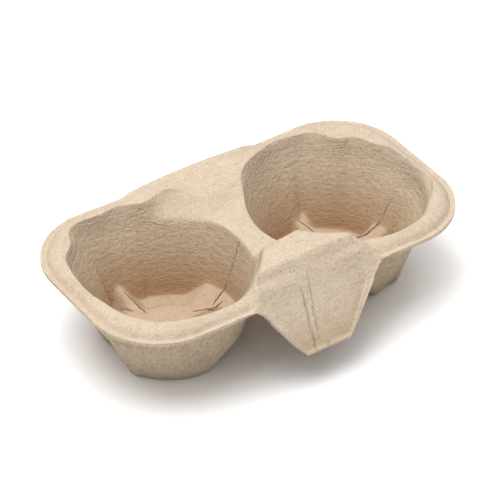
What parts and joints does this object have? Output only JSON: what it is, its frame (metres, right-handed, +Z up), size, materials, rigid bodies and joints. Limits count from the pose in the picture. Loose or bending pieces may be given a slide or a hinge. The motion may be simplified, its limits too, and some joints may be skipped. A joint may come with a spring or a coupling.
{
  "type": "two-cup drink carrier",
  "caption": "Moulded paper pulp drink carrier with two cup wells side by side, a rounded rim and a folded-down front tab.",
  "frame": {"origin": "on the floor, under the middle of the whole carrier's bounding box, tab included", "axes": "X along the row of two cups, -Y towards the front with the hanging tab, +Z up"},
  "size_m": [0.215, 0.1324, 0.064],
  "materials": {
    "moulded_pulp": "matte moulded recycled paper pulp, fine fibres and specks"
  },
  "bodies": {
    "root": {"carrier_tray": "moulded_pulp"}
  },
  "joints": []
}
